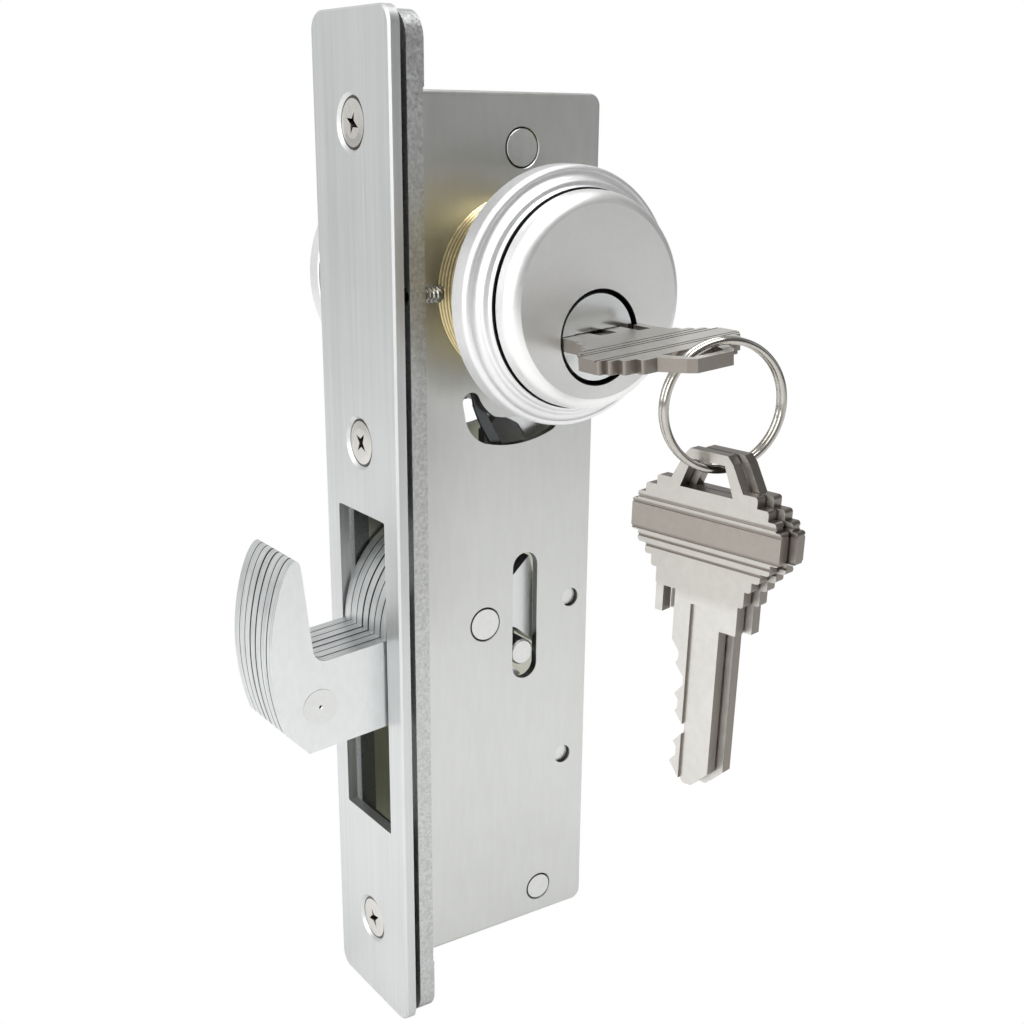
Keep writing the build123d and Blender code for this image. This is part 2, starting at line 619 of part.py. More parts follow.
    with BuildPart() as cam:
        with BuildSketch(turned_plane(CYL_X, side * PLUG_REAR, PLUG_Z, cam_angle)):
            Circle(CAM_HUB_R)
            with Locations((CAM_REACH, 0)):
                Circle(CAM_TIP_R)
            Polygon(
                (0, 4.6),
                (7.5, 1.6),
                (CAM_REACH, 1.5),
                (CAM_REACH, -1.5),
                (7.5, -1.6),
                (0, -4.6),
                align=None,
            )
        extrude(amount=side * CAM_THICK)
        with BuildSketch(plug_plane(side, PLUG_REAR, turn)):
            with Locations((0, CAM_SCREW_OUT), (0, -CAM_SCREW_OUT)):
                Circle(CAM_SCREW_R + 0.02)
        extrude(amount=side * CAM_THICK, mode=Mode.SUBTRACT)
    save(cam.part, f"{name}_cam")

    with BuildPart() as cam_screws:
        with BuildSketch(plug_plane(side, PLUG_REAR + CAM_SCREW_DEEP, turn)):
            with Locations((0, CAM_SCREW_OUT), (0, -CAM_SCREW_OUT)):
                Circle(CAM_SCREW_R)
        extrude(amount=side * (CAM_SCREW_DEEP + CAM_THICK))
    save(cam_screws.part, f"{name}_cam_screws")

    with BuildPart() as set_screw:
        with BuildSketch(Plane.YZ.offset(0.3)):
            with Locations((side * SET_SCREW_Y, CYL_Z)):
                Circle(SET_SCREW_R)
        extrude(amount=CYL_X - CYL_R - 0.35)
        with BuildSketch(Plane.YZ.offset(0.3)):
            with Locations((side * SET_SCREW_Y, CYL_Z)):
                RegularPolygon(0.75, 6)
        extrude(amount=1.5, mode=Mode.SUBTRACT)
    save(set_screw.part, f"{name}_set_screw")

# ---------------------------------------------------------------- keys
HOLE_TOP = 1.5
HOLE_LOW = 6.0
BOW_STEPS = (  # half width, start and end, measured down from the loop's top
    (8.9, 5.0, 7.2),
    (10.9, 6.6, 8.8),
    (12.3, 8.1, 10.2),
    (13.3, 9.4, 14.4),
    (11.9, 14.0, 16.1),
    (10.4, 15.7, 17.7),
    (9.1, 17.3, 19.4),
    (8.0, 18.8, 22.0),
)
RIDGES = (9.0, 10.0, 14.0, 15.1, 16.4)  # grooves across the bow
GROOVE_DEEP = 0.22


def key_blank(plane):
    """A whole key: local y runs out of the blade along the bow, with 0 at the stop."""
    with BuildPart() as key:
        with BuildSketch(plane):
            # the bow's stepped sides
            for half, top, low in BOW_STEPS:
                with Locations((0, BOW_LENGTH - (top + low) / 2)):
                    RectangleRounded(2 * half, low - top, 0.5)
            # the loop and its hole
            Polygon(
                (-3.3, BOW_LENGTH),
                (3.3, BOW_LENGTH),
                (4.3, BOW_LENGTH - 1.1),
                (6.9, BOW_LENGTH - HOLE_LOW),
                (-6.9, BOW_LENGTH - HOLE_LOW),
                (-4.3, BOW_LENGTH - 1.1),
                align=None,
            )
            Polygon(
                (-2.9, BOW_LENGTH - HOLE_TOP),
                (2.9, BOW_LENGTH - HOLE_TOP),
                (4.7, BOW_LENGTH - HOLE_LOW),
                (-4.7, BOW_LENGTH - HOLE_LOW),
                align=None,
                mode=Mode.SUBTRACT,
            )
            # the stop on one side and the small horn on the other
            with Locations((5.6, 2.3)):
                Rectangle(3.0, 4.6)
            with Locations((-7.1, 2.6)):
                Rectangle(1.4, 4.4)
            # the blade with its bevelled tip
            Polygon(
                (-BLADE_HALF, 5.0),
                (BLADE_HALF, 5.0),
                (BLADE_HALF, -BLADE_LENGTH + 3.2),
                (0.9, -BLADE_LENGTH),
                (-0.6, -BLADE_LENGTH),
                (-BLADE_HALF, -BLADE_LENGTH + 4.6),
                align=None,
            )
            # the cuts
            for i in range(PIN_COUNT):
                y = -5.87 - i * PIN_PITCH
                depth = BLADE_HALF - key_cut(i)
                spread = (key_cut(i) + 0.1) * 1.19
                Polygon(
                    (-BLADE_HALF - 0.1, y + 0.7 + spread),
                    (-depth, y + 0.7),
                    (-depth, y - 0.7),
                    (-BLADE_HALF - 0.1, y - 0.7 - spread),
                    align=None,
                    mode=Mode.SUBTRACT,
                )
        extrude(amount=KEY_THICK / 2, both=True)
        # long grooves milled in both sides of the blade
        with BuildSketch(plane.offset(KEY_THICK / 2)):
            with Locations((0.4, -BLADE_LENGTH / 2 + 1.5)):
                Rectangle(3.2, BLADE_LENGTH + 3)
        extrude(amount=-0.5, mode=Mode.SUBTRACT)
        with BuildSketch(plane.offset(-KEY_THICK / 2)):
            with Locations((3.0, -BLADE_LENGTH / 2 + 1.5)):
                Rectangle(1.0, BLADE_LENGTH + 3)
        extrude(amount=0.6, mode=Mode.SUBTRACT)
        # fine grooves across the bow, on both faces
        for face in (1, -1):
            with BuildSketch(plane.offset(face * KEY_THICK / 2)):
                for down in RIDGES:
                    with Locations((0, BOW_LENGTH - down)):
                        Rectangle(30, 0.35)
            extrude(amount=-face * GROOVE_DEEP, mode=Mode.SUBTRACT)
    return key.part


tilt = radians(KEY_TILT)
inserted_plane = Plane(
    origin=(CYL_X, -KEY_STOP, PLUG_Z),
    x_dir=(-cos(tilt), 0, -sin(tilt)),
    z_dir=(-sin(tilt), 0, cos(tilt)),
)
save(key_blank(inserted_plane), "inserted_key")

ring_turn = radians(RING_TURN)
ring_across = (cos(ring_turn), sin(ring_turn), 0)
ring_normal = (-sin(ring_turn), cos(ring_turn), 0)
ring_centre = (RING_X, RING_Y, RING_Z)
hang = radians(HANG_ANGLE)
lean = radians(KEY_LEAN)
key_normal = (sin(hang), -cos(hang), 0)
key_across = (cos(hang) * cos(lean), sin(hang) * cos(lean), -sin(lean))
key_up = (cos(hang) * sin(lean), sin(hang) * sin(lean), cos(lean))
across_key = ring_across[0] * key_normal[0] + ring_across[1] * key_normal[1]
for i, offset in enumerate((KEY_SPREAD, -KEY_SPREAD)):
    # each key hangs where the ring's wire passes through its own plane
    along = offset / across_key
    wire_z = RING_Z - sqrt(RING_R**2 - along**2)
    wire = (RING_X + along * ring_across[0], RING_Y + along * ring_across[1], wire_z)
    above_wire = WIRE_R + HANG_GAP + HOLE_TOP
    stop = [w + (above_wire - BOW_LENGTH) * u for w, u in zip(wire, key_up)]
    hanging_plane = Plane(origin=stop, x_dir=key_across, z_dir=key_normal)
    save(key_blank(hanging_plane), f"spare_key_{i + 1}")

with BuildPart() as key_ring:
    with BuildSketch(Plane(origin=ring_centre, x_dir=ring_across, z_dir=(0, 0, 1))):
        with Locations((RING_R, COIL_HALF_PITCH), (RING_R, -COIL_HALF_PITCH)):
            Circle(WIRE_R)
    revolve(axis=Axis(ring_centre, ring_normal))
save(key_ring.part, "key_ring")
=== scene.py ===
"""Looks of the mortise lock: materials, threads, two inner sheets, light and camera."""

from math import cos, pi, radians, sin, tau

import bmesh
import bpy
from mathutils import Matrix, Vector


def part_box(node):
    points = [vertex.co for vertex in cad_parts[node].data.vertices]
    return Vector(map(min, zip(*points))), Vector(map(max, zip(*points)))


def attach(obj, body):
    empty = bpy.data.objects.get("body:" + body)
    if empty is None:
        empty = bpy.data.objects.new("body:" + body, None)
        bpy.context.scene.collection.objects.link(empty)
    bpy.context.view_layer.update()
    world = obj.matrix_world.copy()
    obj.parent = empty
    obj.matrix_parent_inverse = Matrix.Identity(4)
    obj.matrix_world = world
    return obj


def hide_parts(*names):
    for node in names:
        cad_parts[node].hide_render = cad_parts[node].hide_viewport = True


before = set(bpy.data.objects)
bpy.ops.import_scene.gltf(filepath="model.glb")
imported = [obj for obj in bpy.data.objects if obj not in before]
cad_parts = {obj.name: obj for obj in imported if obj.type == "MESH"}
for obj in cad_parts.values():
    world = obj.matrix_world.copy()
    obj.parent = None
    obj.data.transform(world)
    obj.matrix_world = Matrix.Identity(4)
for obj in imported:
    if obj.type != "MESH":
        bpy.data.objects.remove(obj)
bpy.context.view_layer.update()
MM = 0.001

# ---------------------------------------------------------------- places taken from the frame


def span(node):
    """Lowest and highest corner of a CAD node as vectors."""
    low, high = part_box(node)
    return Vector(low), Vector(high)


ring_low, ring_high = span("near_trim_ring")
CYL_X = (ring_low.x + ring_high.x) / 2
CYL_Z = (ring_low.z + ring_high.z) / 2
plug_low, plug_high = span("near_plug")
PLUG_Z = (plug_low.z + plug_high.z) / 2
plate_low, plate_high = span("near_side_plate")
PLATE_OUT = -plate_low.y
PLATE_IN = -plate_high.y
body_low, _ = span("near_cylinder_body")
screw_face, _ = span("faceplate_screws")
HEAD_FRONT = -body_low.y
BOLT_LOW, _ = span("bolt_lamination_1")
_, BOLT_HIGH = span("bolt_lamination_7")
BOLT_PLATES = 7
KEYS = ("spare_key_1", "spare_key_2", "inserted_key")


# ---------------------------------------------------------------- mesh helpers
AROUND = 160


def add_mesh(name, verts, faces, material):
    mesh = bpy.data.meshes.new(name)
    mesh.from_pydata(verts, [], faces)
    mesh.materials.append(material)
    made = bpy.data.objects.new(name, mesh)
    bpy.context.collection.objects.link(made)
    return made


def smooth_by_angle(obj, degrees_limit=35):
    """Smooth shading that keeps edges sharper than the limit."""
    work = bmesh.new()
    work.from_mesh(obj.data)
    bmesh.ops.recalc_face_normals(work, faces=work.faces)
    for face in work.faces:
        face.smooth = True
    for edge in work.edges:
        edge.smooth = len(edge.link_faces) == 2 and edge.calc_face_angle() < radians(degrees_limit)
    work.to_mesh(obj.data)
    work.free()


def turned_point(origin, axis, side, r, along, angle):
    """A point r from the line through origin along axis ("X" or "Y"), turned by angle."""
    across, up = r * cos(angle), r * sin(angle)
    if axis == "Y":
        return (origin[0] + across, origin[1] + side * along, origin[2] + up)
    return (origin[0] + side * along, origin[1] + across, origin[2] + up)


def lathe_mesh(origin, axis, side, profile):
    """Verts and faces of a closed profile of (radius, distance along) turned all the way round."""
    verts, faces = [], []
    rows = len(profile)
    for j in range(AROUND):
        verts += [turned_point(origin, axis, side, r, along, tau * j / AROUND) for r, along in profile]
    for j in range(AROUND):
        a, b = j * rows, (j + 1) % AROUND * rows
        for i in range(rows):
            k = (i + 1) % rows
            faces.append((a + i, a + k, b + k, b + i))
    return verts, faces


def thread_mesh(origin, axis, side, root, crest, start, end, pitch):
    """Verts and faces of a helical ridge between two distances along the axis."""
    shape = ((0.0, root), (0.32, crest), (0.5, crest), (0.82, root))
    turns = int((end - start) / pitch) + 2
    rows = [((turn + part) * pitch, r) for turn in range(turns) for part, r in shape]
    verts, faces = [], []
    for j in range(AROUND):
        shift = (j / AROUND - 1) * pitch
        for along, r in rows:
            place = min(max(start + along + shift, start), end)
            verts.append(turned_point(origin, axis, side, r, place, tau * j / AROUND))
    count = len(rows)
    for j in range(AROUND):
        last = j == AROUND - 1
        skip = len(shape) if last else 0
        a, b = j * count, (j + 1) % AROUND * count
        for i in range(count - 1 - skip):
            faces.append((a + i, a + i + 1, b + i + 1 + skip, b + i + skip))
    return verts, faces


def joined(*meshes):
    """Several (verts, faces) pairs as one."""
    verts, faces = [], []
    for more_verts, more_faces in meshes:
        base = len(verts)
        verts += more_verts
        faces += [tuple(base + i for i in face) for face in more_faces]
    return verts, faces


def clean(obj):
    """Merge doubled points and drop faces with no area."""
    work = bmesh.new()
    work.from_mesh(obj.data)
    bmesh.ops.remove_doubles(work, verts=work.verts, dist=0.002 * MM)
    bmesh.ops.dissolve_degenerate(work, edges=work.edges, dist=0.001 * MM)
    work.to_mesh(obj.data)
    work.free()


# ---------------------------------------------------------------- shader helpers
def new_material(name):
    material = bpy.data.materials.new(name)
    material.use_nodes = True
    material.node_tree.nodes.clear()
    tree = material.node_tree
    output = tree.nodes.new("ShaderNodeOutputMaterial")
    shader = tree.nodes.new("ShaderNodeBsdfPrincipled")
    tree.links.new(shader.outputs["BSDF"], output.inputs["Surface"])
    return material, tree, shader


def node(tree, kind, **settings):
    made = tree.nodes.new(kind)
    for key, value in settings.items():
        setattr(made, key, value)
    return made


def object_coords(tree, scale=(1, 1, 1)):
    """Object coordinates in millimetres, stretched by scale."""
    coords = node(tree, "ShaderNodeTexCoord")
    mapping = node(tree, "ShaderNodeMapping")
    mapping.inputs["Scale"].default_value = [1000 * s for s in scale]
    tree.links.new(coords.outputs["Object"], mapping.inputs["Vector"])
    return mapping.outputs["Vector"]


def noise(tree, vector, scale, detail=3.0, rough=0.5, distortion=0.0):
    made = node(tree, "ShaderNodeTexNoise")
    made.inputs["Scale"].default_value = scale
    made.inputs["Detail"].default_value = detail
    made.inputs["Roughness"].default_value = rough
    made.inputs["Distortion"].default_value = distortion
    tree.links.new(vector, made.inputs["Vector"])
    return made.outputs["Fac"]


def ramp(tree, fac, stops):
    """Colour ramp: stops are (position, colour) with a colour of three numbers or one."""
    made = node(tree, "ShaderNodeValToRGB")
    elements = made.color_ramp.elements
    while len(elements) < len(stops):
        elements.new(0.5)
    for element, (position, colour) in zip(elements, stops):
        element.position = position
        if isinstance(colour, (int, float)):
            colour = (colour, colour, colour)
        element.color = (*colour, 1)
    tree.links.new(fac, made.inputs["Fac"])
    return made.outputs["Color"]


def remap(tree, fac, low, high, from_low=0.3, from_high=0.7):
    made = node(tree, "ShaderNodeMapRange")
    made.inputs["From Min"].default_value = from_low
    made.inputs["From Max"].default_value = from_high
    made.inputs["To Min"].default_value = low
    made.inputs["To Max"].default_value = high
    tree.links.new(fac, made.inputs["Value"])
    return made.outputs["Result"]


def mix_colour(tree, fac, a, b, blend="MIX"):
    made = node(tree, "ShaderNodeMix", data_type="RGBA", blend_type=blend)
    for socket, value in ((made.inputs[0], fac), (made.inputs[6], a), (made.inputs[7], b)):
        if isinstance(value, bpy.types.NodeSocket):
            tree.links.new(value, socket)
        elif isinstance(value, (int, float)):
            socket.default_value = value
        else:
            socket.default_value = (*value, 1)
    return made.outputs[2]


def bump(tree, shader, height, strength, distance):
    made = node(tree, "ShaderNodeBump")
    made.inputs["Strength"].default_value = strength
    made.inputs["Distance"].default_value = distance * MM
    tree.links.new(height, made.inputs["Height"])
    tree.links.new(made.outputs["Normal"], shader.inputs["Normal"])
    return made


def metal(name, colour, roughness, spread=0.04, grain=(1, 1, 1), grain_scale=1.0, tone=0.06,
          bump_strength=0.1, bump_height=0.02, metallic=1.0, blotch=0.03):
    """A metal whose brightness, gloss and relief follow a stretched grain and slow blotches."""
    material, tree, shader = new_material(name)
    shader.inputs["Metallic"].default_value = metallic
    fine = noise(tree, object_coords(tree, grain), grain_scale, detail=4.0, rough=0.6)
    slow = noise(tree, object_coords(tree), 0.09, detail=2.0)
    dark = [c * (1 - tone) for c in colour]
    light = [min(1.0, c * (1 + tone)) for c in colour]
    grained = ramp(tree, fine, ((0.3, dark), (0.7, light)))
    shade = ramp(tree, slow, ((0.3, 1 - blotch), (0.7, 1.0)))
    tree.links.new(mix_colour(tree, 1.0, grained, shade, "MULTIPLY"), shader.inputs["Base Color"])
    gloss = remap(tree, fine, roughness - spread, roughness + spread)
    tree.links.new(gloss, shader.inputs["Roughness"])
    bump(tree, shader, fine, bump_strength, bump_height)
    return material


def axis_part(tree, axis):
    """One object coordinate in millimetres, as a number."""
    split = node(tree, "ShaderNodeSeparateXYZ")
    tree.links.new(object_coords(tree), split.inputs[0])
    return split.outputs["XYZ".index(axis)]


def math(tree, operation, a, b=0.0):
    made = node(tree, "ShaderNodeMath", operation=operation)
    for socket, value in zip(made.inputs, (a, b)):
        if isinstance(value, bpy.types.NodeSocket):
            tree.links.new(value, socket)
        else:
            socket.default_value = value
    return made.outputs[0]


def tint(material, fac, colour):
    """Multiplies the base colour by another colour where fac is 1."""
    tree = material.node_tree
    shader = next(n for n in tree.nodes if n.type == "BSDF_PRINCIPLED")
    link = shader.inputs["Base Color"].links[0]
    before = link.from_socket
    shaded = mix_colour(tree, fac(tree), before, colour_times(tree, before, colour))
    tree.links.new(shaded, shader.inputs["Base Color"])
    return material


def colour_times(tree, base, colour):
    return mix_colour(tree, 1.0, base, colour, "MULTIPLY")


def inside_middle(reach):
    """1 within reach (mm) of the middle plane and 0 outside it."""
    return lambda tree: math(tree, "LESS_THAN", math(tree, "ABSOLUTE", axis_part(tree, "Y")), reach)


def beyond_middle(reach):
    """1 farther than reach (mm) from the middle plane."""
    return lambda tree: math(tree, "GREATER_THAN", math(tree, "ABSOLUTE", axis_part(tree, "Y")), reach)


SEAM_HALF = 0.10  # mm of painted shade each side of a seam
WIDER_SEAMS = {1: 1.4, 3: 1.9, 4: 2.1}  # seams that stand open more than the rest


def bolt_seam_shade(tree):
    """1 in the seams between the bolt's plates, where painted shade goes."""
    width = (BOLT_HIGH.y - BOLT_LOW.y) / MM
    across = math(tree, "DIVIDE", math(tree, "SUBTRACT", axis_part(tree, "Y"), BOLT_LOW.y / MM), width)
    stops = [(0.0, 0.0)]
    for i in range(1, BOLT_PLATES):
        half = SEAM_HALF / width * WIDER_SEAMS.get(i, 1.0)
        middle = i / BOLT_PLATES
        stops += [(middle - 1.5 * half, 0.0), (middle - half, 1.0), (middle + half, 1.0),
                  (middle + 1.5 * half, 0.0)]
    return ramp(tree, across, stops)


def hole_wall_shade(tree):
    """1 on the side plates' thickness where it lines a hole, the place of painted shade;
    0 on their faces and their back, top and bottom edges."""
    within_back = math(tree, "LESS_THAN", axis_part(tree, "X"), plate_high.x / MM - 1.0)
    height = math(tree, "ABSOLUTE", axis_part(tree, "Z"))
    within_height = math(tree, "LESS_THAN", height, plate_high.z / MM - 1.0)
    within_thickness = math(tree, "MULTIPLY", inside_middle(PLATE_OUT / MM - 0.12)(tree),
                            beyond_middle(PLATE_IN / MM + 0.05)(tree))
    return math(tree, "MULTIPLY", within_thickness, math(tree, "MULTIPLY", within_back, within_height))


def screw_recess_shade(tree):
    """1 deeper than the faces of the faceplate screws, where painted shade goes."""
    deeper = math(tree, "GREATER_THAN", axis_part(tree, "X"), screw_face.x / MM + 0.12)
    return math(tree, "MULTIPLY", deeper, math(tree, "LESS_THAN", axis_part(tree, "X"), 1.0))


def shear_marks(tree):
    """Fine stripes along the cut edges of the bolt's plates, and nothing on their flat sides."""
    stripes = noise(tree, object_coords(tree, (0.1, 4.0, 0.1)), 1.0, detail=5.0, rough=0.7)
    coords = node(tree, "ShaderNodeTexCoord")
    split = node(tree, "ShaderNodeSeparateXYZ")
    tree.links.new(coords.outputs["Normal"], split.inputs[0])
    edge = math(tree, "LESS_THAN", math(tree, "ABSOLUTE", split.outputs["Y"]), 0.7)
    return math(tree, "MULTIPLY", edge, remap(tree, stripes, 0.15, 1.0, 0.40, 0.60))


def near_plug_axis(reach):
    """1 within reach (mm) of the plug's axis."""

    def fac(tree):
        across = math(tree, "SUBTRACT", axis_part(tree, "X"), CYL_X / MM)
        up = math(tree, "SUBTRACT", axis_part(tree, "Z"), PLUG_Z / MM)
        square = math(tree, "ADD", math(tree, "MULTIPLY", across, across), math(tree, "MULTIPLY", up, up))
        return math(tree, "LESS_THAN", square, reach**2)

    return fac


def far_from_plug_axis(reach):
    """1 farther than reach (mm) from the plug's axis."""
    return lambda tree: math(tree, "SUBTRACT", 1.0, near_plug_axis(reach)(tree))


ROOT_SHADE_R = 14.6  # mm, where the painted shade of the thread is darkest
CREST_SHADE_R = 14.86  # mm, where the painted shade has faded out and it is bright


def thread_root_shade(tree):
    """1 at the root of the cylinder's thread, 0 on its crest: where painted shade goes."""
    across = math(tree, "SUBTRACT", axis_part(tree, "X"), CYL_X / MM)
    up = math(tree, "SUBTRACT", axis_part(tree, "Z"), CYL_Z / MM)
    square = math(tree, "ADD", math(tree, "MULTIPLY", across, across), math(tree, "MULTIPLY", up, up))
    return remap(tree, math(tree, "SQRT", square), 1.0, 0.0, ROOT_SHADE_R, CREST_SHADE_R)


KEY_SPAN = 55.0  # mm, from the loop's top to past the blade's tip
KEY_EDGE = (0.36, 0.335, 0.31)
BLADE = (1.0, 1.0, 0.99)
LINE_HALF = 0.16  # mm, half width of a line in a groove
LINE_FADE = 0.26  # mm, half width with its soft edges
BOW_END = 21.8
BLADE_START = 23.5


def key_shade(material, top, up, normal, shades):
    """Painted shade and highlights down one key, and grey-brown cut edges."""
    tree = material.node_tree
    shader = next(n for n in tree.nodes if n.type == "BSDF_PRINCIPLED")
    base = shader.inputs["Base Color"].links[0].from_socket
    offset = node(tree, "ShaderNodeVectorMath", operation="SUBTRACT")
    tree.links.new(object_coords(tree), offset.inputs[0])
    offset.inputs[1].default_value = [c / MM for c in top]
    down = node(tree, "ShaderNodeVectorMath", operation="DOT_PRODUCT")
    tree.links.new(offset.outputs[0], down.inputs[0])
    down.inputs[1].default_value = [-c / KEY_SPAN for c in up]
    shade = ramp(tree, down.outputs["Value"], shades)
    shaded = mix_colour(tree, 1.0, base, shade, "MULTIPLY")
    facing = node(tree, "ShaderNodeVectorMath", operation="DOT_PRODUCT")
    coords = node(tree, "ShaderNodeTexCoord")
    tree.links.new(coords.outputs["Normal"], facing.inputs[0])
    facing.inputs[1].default_value = normal
    flat = math(tree, "ABSOLUTE", facing.outputs["Value"])
    edge = ramp(tree, flat, ((0.1, 1.0), (0.5, 0.0)))
    browned = mix_colour(tree, edge, shaded, colour_times(tree, base, KEY_EDGE))
    tree.links.new(browned, shader.inputs["Base Color"])
    return material



def key_shades(bow, line, band):
    """Colour stops of painted shade and highlight down the key: bow, lines in its grooves, band and blade.
    """
    stops = [(0.0, bow)]
    for before, line_at, after in ((bow, 9.0, bow), (bow, 9.9, band), (band, 14.0, bow), (bow, 15.1, bow),
                                   (bow, 16.4, bow)):
        stops += [((line_at - LINE_FADE) / KEY_SPAN, before), ((line_at - LINE_HALF) / KEY_SPAN, line),
                  ((line_at + LINE_HALF) / KEY_SPAN, line), ((line_at + LINE_FADE) / KEY_SPAN, after)]
    stops += [(BOW_END / KEY_SPAN, bow), (BLADE_START / KEY_SPAN, BLADE)]
    return stops


# painted light on the keys: the spare keys get painted shade on the bow, in the grooves and on the band,
# both keys get a lighter blade, and the inserted key gets painted highlights in its grooves
SPARE_KEY_PAINTED_SHADE = key_shades((0.84, 0.825, 0.805), (0.40, 0.37, 0.34), (0.55, 0.52, 0.49))
INSERTED_KEY_PAINTED_LIGHT = key_shades((0.90, 0.89, 0.87), (1.0, 1.0, 1.0), (0.90, 0.89, 0.87))

BRUSH_UP = (1.6, 1.6, 0.02)

looks = {
    "faceplate_aluminium": metal("faceplate_aluminium", (0.70, 0.71, 0.71), 0.42, grain=BRUSH_UP, tone=0.05),
    "nickel_screw": metal("nickel_screw", (0.74, 0.72, 0.68), 0.22, grain_scale=0.8, tone=0.04),
    "zinc_strap": metal("zinc_strap", (0.60, 0.61, 0.60), 0.42, spread=0.10, grain_scale=2.0, tone=0.22,
                        bump_strength=0.5, bump_height=0.06),
    "zinc_plate": metal("zinc_plate", (0.69, 0.70, 0.68), 0.36, spread=0.02, grain=(0.8, 0.8, 0.15),
                        tone=0.025, bump_strength=0.02),
    "rivet_steel": metal("rivet_steel", (0.76, 0.77, 0.75), 0.34, spread=0.03, grain_scale=1.0, tone=0.04,
                         bump_strength=0.05),
    "bolt_steel": metal("bolt_steel", (0.82, 0.835, 0.835), 0.40, grain=(1.5, 0.6, 0.6), grain_scale=0.6,
                        tone=0.04),
    "link_steel": metal("link_steel", (0.20, 0.20, 0.20), 0.4, grain_scale=0.8),
    "dark_leaf": metal("dark_leaf", (0.10, 0.105, 0.11), 0.3, grain_scale=0.8),
    "guard_steel": metal("guard_steel", (0.80, 0.81, 0.82), 0.3, grain_scale=0.8, bump_strength=0.05),
    "cylinder_brass": metal("cylinder_satin", (0.93, 0.93, 0.92), 0.42, spread=0.02, grain_scale=1.5,
                            tone=0.015, bump_strength=0.04),
    "brass_thread": metal("brass_thread", (0.66, 0.55, 0.30), 0.22, grain_scale=0.7, tone=0.12,
                          bump_strength=0.04),
    "trim_aluminium": metal("trim_aluminium", (0.88, 0.88, 0.885), 0.46, spread=0.03, grain_scale=1.5,
                            tone=0.015),
    "plug_chrome": metal("plug_chrome", (0.90, 0.92, 0.92), 0.16, spread=0.03, grain_scale=0.6, tone=0.04,
                         bump_strength=0.05),
    "pin_brass": metal("pin_brass", (0.75, 0.62, 0.33), 0.3),
    "spring_steel": metal("spring_steel", (0.6, 0.6, 0.6), 0.3),
    "dark_screw": metal("dark_screw", (0.42, 0.42, 0.41), 0.22, spread=0.03, grain_scale=0.9),
    "nickel_silver": metal("nickel_silver", (0.84, 0.825, 0.80), 0.36, spread=0.03, grain_scale=0.8,
                           tone=0.03, bump_strength=0.03),
    # a darker copy of the same nickel silver: painted shade for the spare keys
    "worn_nickel": metal("worn_nickel", (0.66, 0.645, 0.62), 0.34, spread=0.04, grain_scale=0.8, tone=0.04,
                         bump_strength=0.03),
    "ring_steel": metal("ring_steel", (0.52, 0.50, 0.46), 0.14, spread=0.03, bump_strength=0.03),
}
# painted shade for gaps: round the plug, on the cylinder behind its head's rim and on the trim ring's
# outermost face
GAP_SHADE = (0.03, 0.03, 0.03)
PLUG_HOLE_R = 7.42  # mm, the painted shade of the gap round the plug lies between these two
PLUG_FACE_R = 6.88
STRAP_SLOT = 8.3  # mm, just past the walls of the strap's slot, which get painted shade
HEAD_DEEP = 4.05  # mm, from the front of the cylinder's head to behind its rim, where painted shade starts
# painted shade in the seams between the bolt's plates
tint(looks["bolt_steel"], bolt_seam_shade, (0.06, 0.06, 0.06))
tint(looks["bolt_steel"], shear_marks, (0.70, 0.71, 0.71))
tint(looks["zinc_plate"], inside_middle(PLATE_IN / MM + 0.05), (0.80, 0.80, 0.70))
# painted shade in the gap round the plug, on the cylinder's body and on the plug's rim
tint(looks["cylinder_brass"], near_plug_axis(PLUG_HOLE_R), GAP_SHADE)
tint(looks["plug_chrome"], far_from_plug_axis(PLUG_FACE_R), GAP_SHADE)
# painted shade in the roots of the cylinder's thread
tint(looks["brass_thread"], thread_root_shade, (0.10, 0.09, 0.07))
# painted shade on the walls of the side plates' holes
tint(looks["zinc_plate"], hole_wall_shade, (0.22, 0.22, 0.21))
# painted shade in the recesses of the faceplate screws
tint(looks["nickel_screw"], screw_recess_shade, (0.16, 0.15, 0.14))
# painted shade on the walls of the strap's slot
tint(looks["zinc_strap"], inside_middle(STRAP_SLOT), (0.35, 0.36, 0.36))
# painted shade on the cylinder behind its head's rim
tint(looks["cylinder_brass"], inside_middle(HEAD_FRONT / MM - HEAD_DEEP), GAP_SHADE)
# painted shade on the trim ring's outermost 0.08 mm, a dark line at its edge
tint(looks["trim_aluminium"], beyond_middle(-ring_low.y / MM - 0.08), GAP_SHADE)

HANG = radians(-77.0)
KEY_LEAN = radians(1.5)
KEY_TILT = radians(5.0)
hang_up = (cos(HANG) * sin(KEY_LEAN), sin(HANG) * sin(KEY_LEAN), cos(KEY_LEAN))
hang_normal = (sin(HANG), -cos(HANG), 0)
own_looks = {}
for name in KEYS:
    low, high = span(name)
    middle = (low + high) / 2
    # the spare keys take the darker copy, painted shade
    key_look = looks["nickel_silver" if name == "inserted_key" else "worn_nickel"].copy()
    key_look.name = f"{name}_nickel"
    if name == "inserted_key":
        key_shade(key_look, (middle.x, low.y, PLUG_Z), (0, -1, 0), (-sin(KEY_TILT), 0, cos(KEY_TILT)),
                  INSERTED_KEY_PAINTED_LIGHT)
    else:
        key_shade(key_look, (middle.x, middle.y, high.z), hang_up, hang_normal, SPARE_KEY_PAINTED_SHADE)
    own_looks[name] = key_look

# below its flush face each of these rivets is painted dark, a painted shade which draws a thin outline round
# the head
for name, flush in (("top_case_rivet", PLATE_OUT), ("bottom_case_rivet", PLATE_OUT),
                    ("bolt_pivot_pin", PLATE_OUT), ("bolt_nose_rivet", -BOLT_LOW.y)):
    rivet_look = looks["rivet_steel"].copy()
    rivet_look.name = f"{name}_steel"
    own_looks[name] = tint(rivet_look, inside_middle(flush / MM - 0.05), (0.08, 0.08, 0.08))

